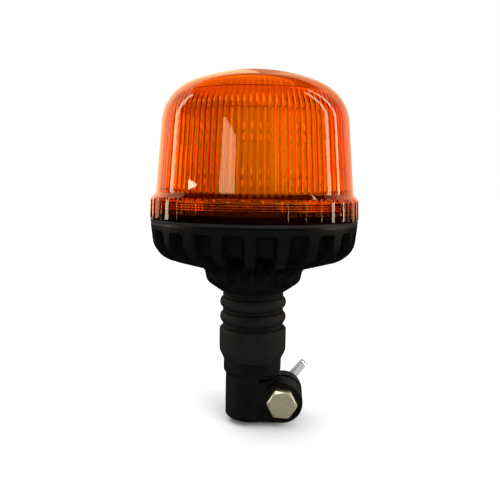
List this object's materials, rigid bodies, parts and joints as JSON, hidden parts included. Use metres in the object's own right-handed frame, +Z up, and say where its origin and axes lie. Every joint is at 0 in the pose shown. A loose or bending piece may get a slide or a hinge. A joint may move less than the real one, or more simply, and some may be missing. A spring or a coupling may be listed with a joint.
{
  "type": "flashing warning light",
  "caption": "Amber LED warning beacon: fluted dome lens on a finned black base, with a flexible rubber neck and a split clamp sleeve that grips a pole spigot.",
  "frame": {"origin": "centre of the socket mouth, on the bottom face of the clamp sleeve", "axes": "+Z up along the beacon's axis, +X towards the clamp ears, +Y along the clamp bolt from head to nut"},
  "size_m": [0.1306, 0.1306, 0.2224],
  "materials": {
    "amber_lens": "clear amber polycarbonate, glossy",
    "black_plastic": "satin moulded black plastic",
    "clamp_plastic": "fine matt moulded black plastic",
    "black_rubber": "matt black rubber",
    "zinc_steel": "zinc plated steel",
    "bright_nut": "bright plated cast nut",
    "contact_brass": "bare brass",
    "carrier_plastic": "black insulating plastic",
    "tower_alloy": "pressed aluminium",
    "board_white": "white solder resist",
    "board_green": "green solder resist",
    "led_yellow": "yellow phosphor",
    "clear_optic": "clear moulded plastic",
    "cap_plastic": "white moulded plastic",
    "can_alloy": "bright can",
    "ferrite": "wound ferrite core",
    "chip_black": "moulded package",
    "terminal_plastic": "moulded terminal block",
    "lead_sheath": "cable sheath",
    "led_wire": "wire insulation"
  },
  "bodies": {
    "stem": {"clamp_sleeve": "clamp_plastic", "flex_neck": "black_rubber", "clamp_bolt": "zinc_steel", "earth_ring": "contact_brass", "contact_carrier": "carrier_plastic", "carrier_clip": "zinc_steel", "contact_spring": "zinc_steel"},
    "neck_mid": {"supply_lead": "lead_sheath"},
    "head": {"base_housing": "black_plastic", "dome_lens": "amber_lens", "neck_retainer": "zinc_steel", "neck_screws": "zinc_steel", "lead_grommet": "black_rubber", "driver_board": "board_green", "driver_screws": "zinc_steel", "driver_capacitors": "can_alloy", "driver_inductor": "ferrite", "driver_chips": "chip_black", "lead_terminal": "terminal_plastic", "led_leads": "led_wire", "chassis_plate": "carrier_plastic", "plate_screws": "zinc_steel", "led_tower": "tower_alloy", "tower_screws": "zinc_steel", "led_boards": "board_white", "led_emitters": "led_yellow", "led_optics": "clear_optic", "tower_cap": "cap_plastic", "cap_screw": "zinc_steel", "lens_gasket": "black_rubber"},
    "washer": {"nut_washer": "zinc_steel"},
    "nut": {"wing_nut": "bright_nut"},
    "pin": {"centre_contact": "contact_brass"}
  },
  "joints": [
    {"name": "neck_bend_fore_aft", "type": "hinge", "parent": "stem", "child": "neck_mid", "pos_m": [0, 0, 0.064], "axis": [1, 0, 0], "range_deg": [-20, 20], "stiffness_Nm_per_rad": 8, "deforming": ["flex_neck", "supply_lead"]},
    {"name": "neck_bend_sideways", "type": "hinge", "parent": "neck_mid", "child": "head", "pos_m": [0, 0, 0.0755], "axis": [0, 1, 0], "range_deg": [-20, 20], "stiffness_Nm_per_rad": 8},
    {"name": "washer_slide", "type": "slide", "parent": "stem", "child": "washer", "axis": [0, 1, 0], "range_m": [0, 0.006]},
    {"name": "wing_nut_turn", "type": "hinge", "parent": "washer", "child": "nut", "pos_m": [0.02, 0, 0.013], "axis": [0, 1, 0], "range_deg": [0, 1440]},
    {"name": "contact_press", "type": "slide", "parent": "stem", "child": "pin", "axis": [0, 0, 1], "range_m": [0, 0.002], "stiffness_N_per_m": 300, "springref_m": -0.006, "deforming": ["contact_spring"]}
  ],
  "couplings": [
    {"joint": "washer_slide", "follows": "wing_nut_turn", "m_per_rad": 0.00023873}
  ]
}
